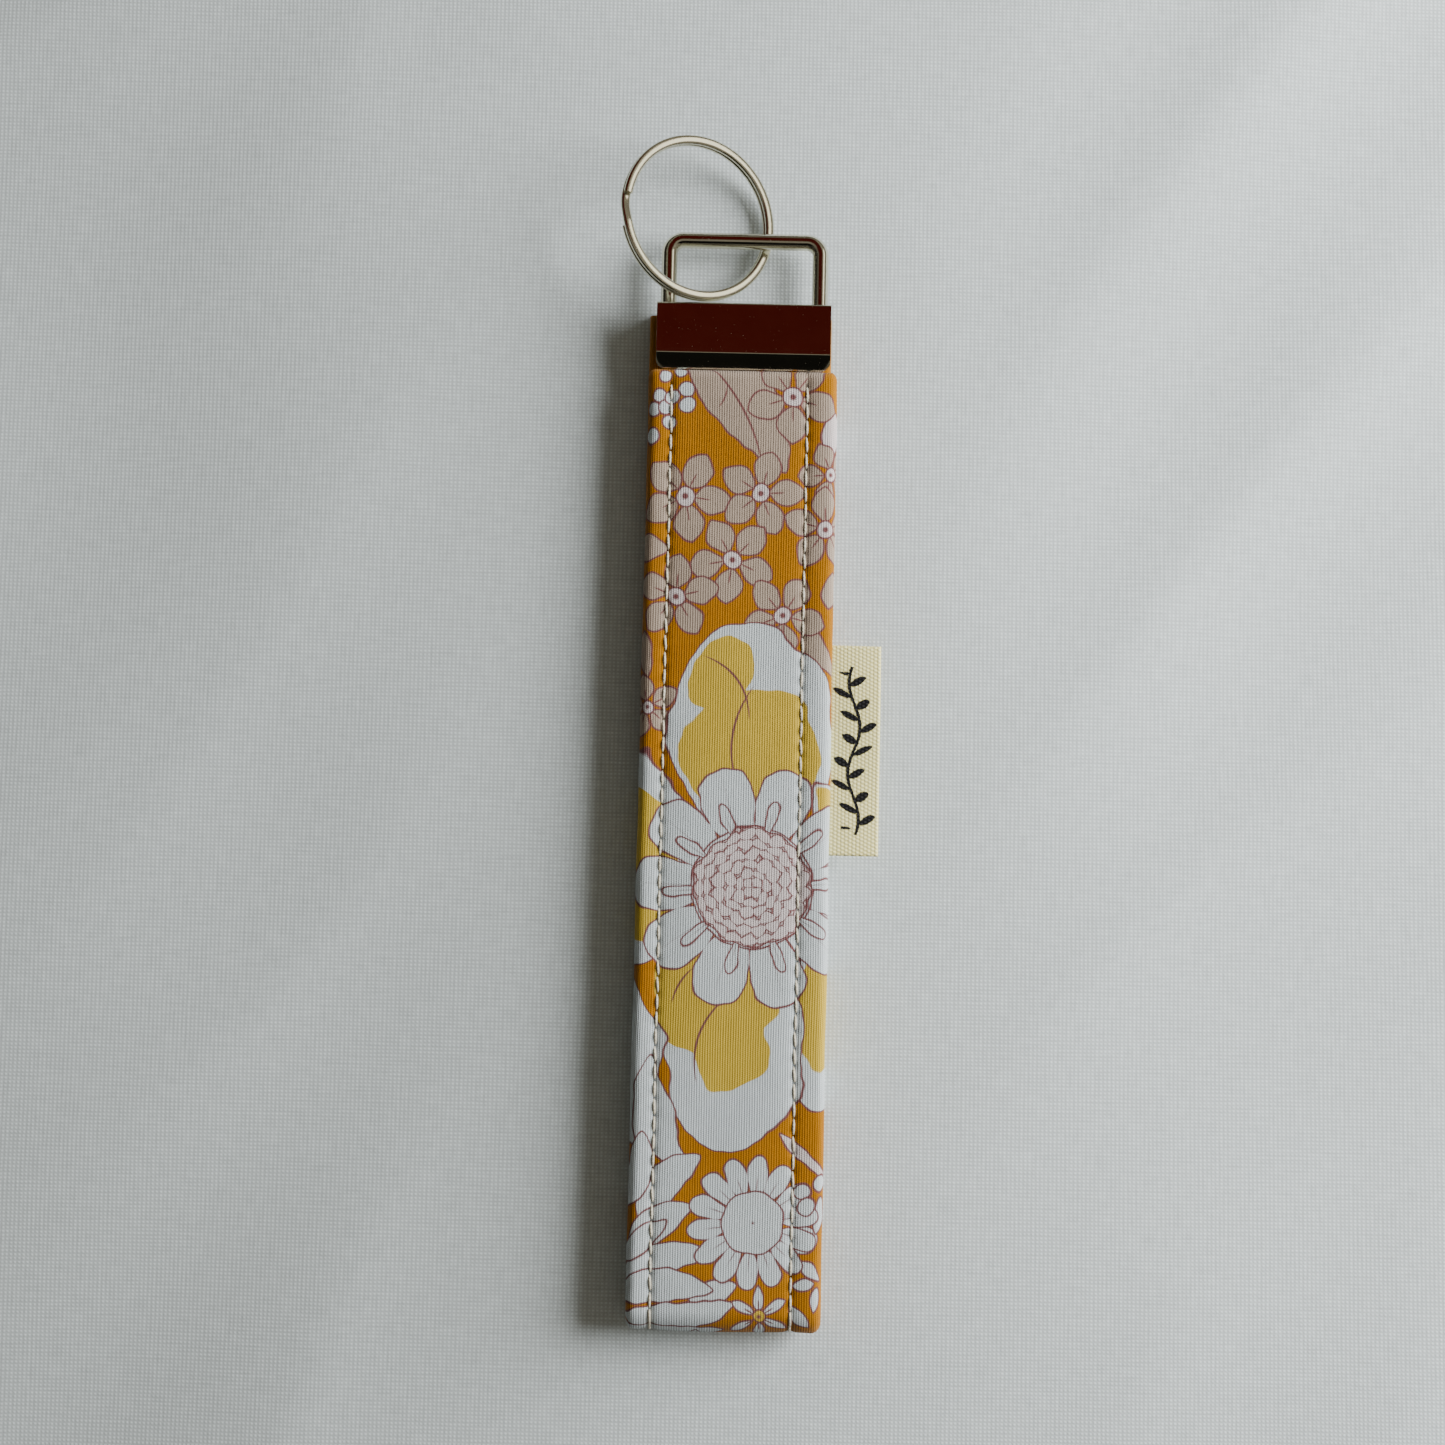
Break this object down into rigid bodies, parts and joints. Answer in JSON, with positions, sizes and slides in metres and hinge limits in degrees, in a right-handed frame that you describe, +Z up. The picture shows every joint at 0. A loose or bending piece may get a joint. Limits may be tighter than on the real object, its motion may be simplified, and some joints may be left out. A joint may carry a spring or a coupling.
{
  "type": "wristlet keychain",
  "caption": "Printed cotton wrist strap folded into a loop, its ends crimped in a metal clamp that carries a wire frame and a split key ring.",
  "frame": {"origin": "middle of the clamp's lower jaw, on the flat face that the fob lies on", "axes": "+X across the strap towards the side label, +Y along the strap from the fold towards the split ring, +Z up from the surface the fob lies on"},
  "size_m": [0.04, 0.1764, 0.0122],
  "materials": {
    "clamp_nickel": "bright nickel plate",
    "frame_nickel": "bright nickel plate",
    "ring_nickel": "bright nickel plate",
    "printed_cotton": "plain weave with a floral print",
    "fleece": "needled fleece",
    "thread": "matt spun polyester",
    "label_tape": "ribbed woven tape"
  },
  "bodies": {
    "hardware_and_near_arm": {"clamp": "clamp_nickel", "wire_frame": "frame_nickel", "cover_lower_near": "printed_cotton", "core_lower_near": "fleece", "thread_left_lower_near": "thread", "thread_right_lower_near": "thread", "cover_upper_end": "printed_cotton", "core_upper_end": "fleece"},
    "lower_far_arm": {"cover_lower_far": "printed_cotton", "core_lower_far": "fleece", "thread_left_lower_far": "thread", "thread_right_lower_far": "thread"},
    "fold_and_upper_far_arm": {"cover_upper_far": "printed_cotton", "core_upper_far": "fleece", "thread_left_upper_far": "thread", "thread_right_upper_far": "thread"},
    "upper_near_arm": {"cover_upper_near": "printed_cotton", "core_upper_near": "fleece", "thread_left_upper_near": "thread", "thread_right_upper_near": "thread", "label_sewn_in": "label_tape"},
    "label": {"label_flap": "label_tape"},
    "ring": {"split_ring": "ring_nickel"},
    "ring_end": {"ring_free_end": "ring_nickel"}
  },
  "joints": [
    {"name": "ring_flop", "type": "hinge", "parent": "hardware_and_near_arm", "child": "ring", "pos_m": [0.00309, 0.0154, 0.00112], "axis": [0, 1, 0], "range_deg": [0, 115]},
    {"name": "ring_spread", "type": "hinge", "parent": "ring", "child": "ring_end", "pos_m": [-0.00564, 0.02959, 0.0058], "axis": [0.1251, 0.9903, -0.061], "range_deg": [0, 8], "stiffness_Nm_per_rad": 0.02},
    {"name": "loop_open", "type": "hinge", "parent": "hardware_and_near_arm", "child": "lower_far_arm", "pos_m": [0, -0.05775, 0.0014], "axis": [-1, 0, 0], "range_deg": [0, 45]},
    {"name": "fold_open", "type": "hinge", "parent": "lower_far_arm", "child": "fold_and_upper_far_arm", "pos_m": [0, -0.14175, 0.0014], "axis": [-1, 0, 0], "range_deg": [-45, 0]},
    {"name": "upper_bend", "type": "hinge", "parent": "fold_and_upper_far_arm", "child": "upper_near_arm", "pos_m": [0, -0.0905, 0.0056], "axis": [-1, 0, 0], "range_deg": [0, 45]},
    {"name": "label_flex", "type": "hinge", "parent": "upper_near_arm", "child": "label", "pos_m": [0.0141, -0.0615, 0.0056], "axis": [0, -1, 0], "range_deg": [-45, 45], "stiffness_Nm_per_rad": 0.0002}
  ],
  "couplings": [
    {"joint": "fold_open", "follows": "loop_open", "ratio": -1},
    {"joint": "upper_bend", "follows": "loop_open", "ratio": 1}
  ]
}
